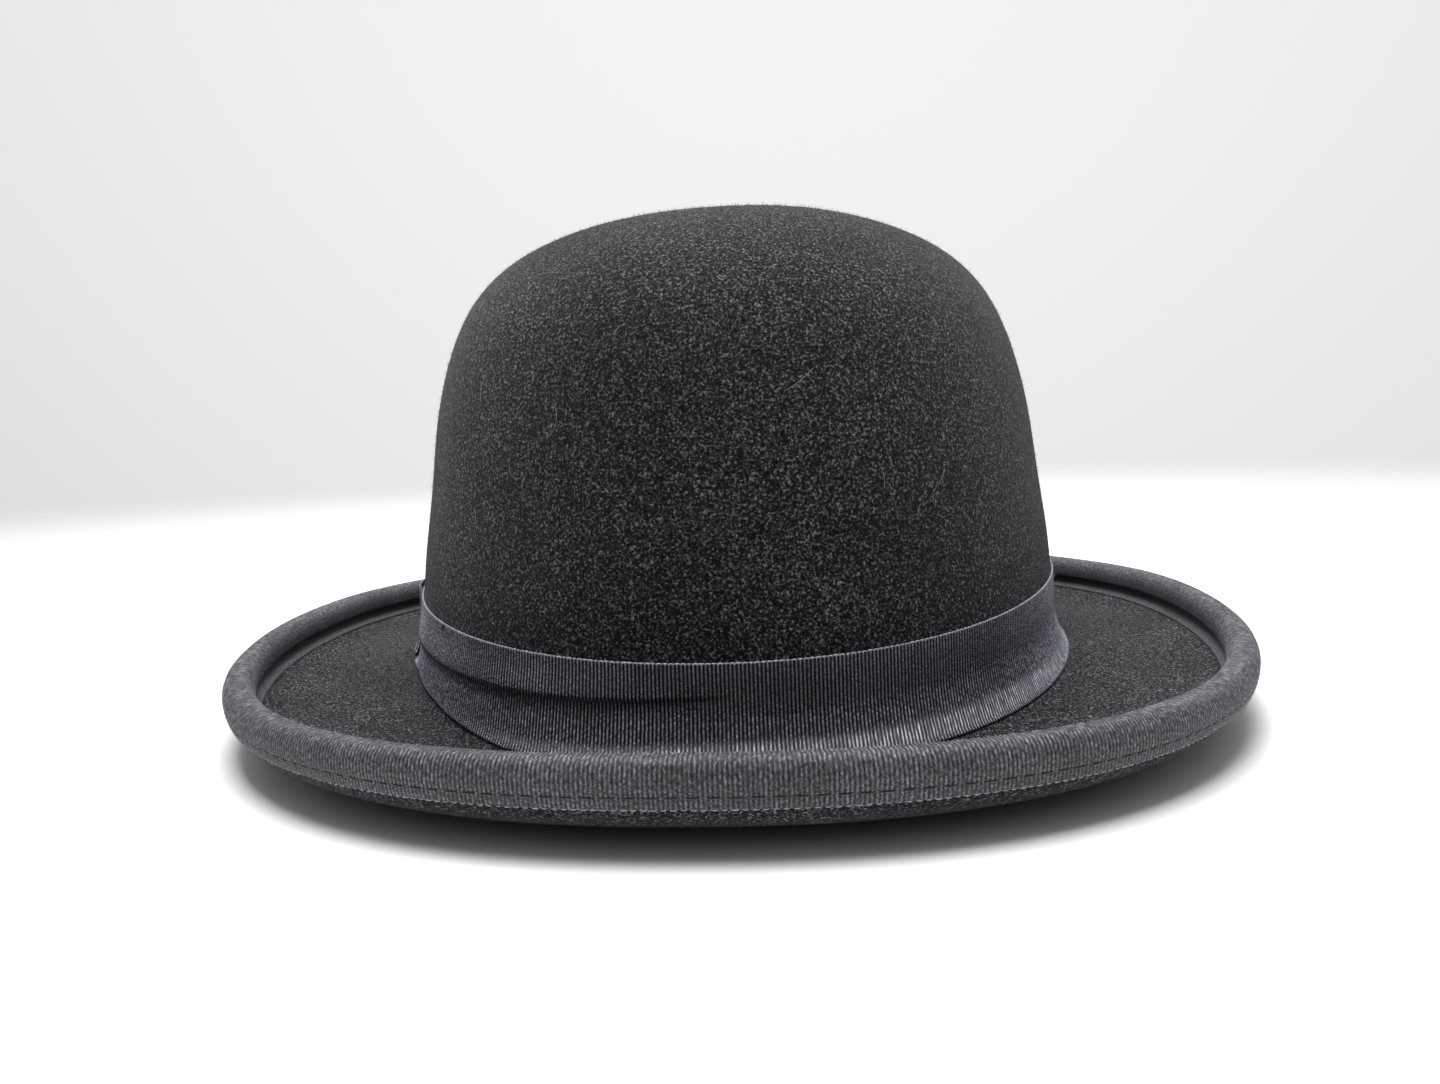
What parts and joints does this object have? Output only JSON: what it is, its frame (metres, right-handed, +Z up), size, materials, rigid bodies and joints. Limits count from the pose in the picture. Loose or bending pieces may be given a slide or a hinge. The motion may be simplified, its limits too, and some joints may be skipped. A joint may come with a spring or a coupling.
{
  "type": "bowler hat",
  "caption": "Black felt bowler hat: tall rounded crown, ribbed hatband with flat side bow, dished brim rolled up into a bound curl, leather sweatband and satin lining.",
  "frame": {"origin": "on the ground plane under the middle of the hat's bounding box, with the hat standing on its brim", "axes": "+Z up through the crown, +Y towards the hat's front, +X towards the wearer's right, so the bow is on -X"},
  "size_m": [0.2594, 0.2838, 0.1254],
  "materials": {
    "felt": "matt black wool felt with a short nap",
    "grosgrain": "ribbed black grosgrain, soft sheen on the ribs",
    "binding_grosgrain": "ribbed black grosgrain, slightly worn to charcoal",
    "thread": "black sewing thread",
    "leather": "smooth dark brown sweatband leather, satin",
    "reed": "natural flexible reed",
    "tape": "fine woven black tape",
    "bow_ribbon": "narrow black ribbon, soft sheen",
    "ticket": "uncoated cream paper, blank",
    "satin": "dark grey satin, glossy along the weave"
  },
  "bodies": {
    "root": {"felt_body": "felt", "hatband": "grosgrain", "side_bow_loops": "grosgrain", "side_bow_knot": "grosgrain", "brim_binding": "binding_grosgrain", "binding_stitches": "thread", "hatband_tacks": "thread", "bow_tacks": "thread", "sweatband": "leather", "sweatband_reed": "reed", "reed_tape": "tape", "sweatband_stitches": "thread", "sweatband_seam_patch": "tape", "sweatband_bow": "bow_ribbon", "sweatband_bow_knot": "bow_ribbon", "size_tag": "ticket", "lining_side": "satin", "lining_tip": "satin", "lining_piping": "satin", "lining_tacks": "thread"}
  },
  "joints": []
}
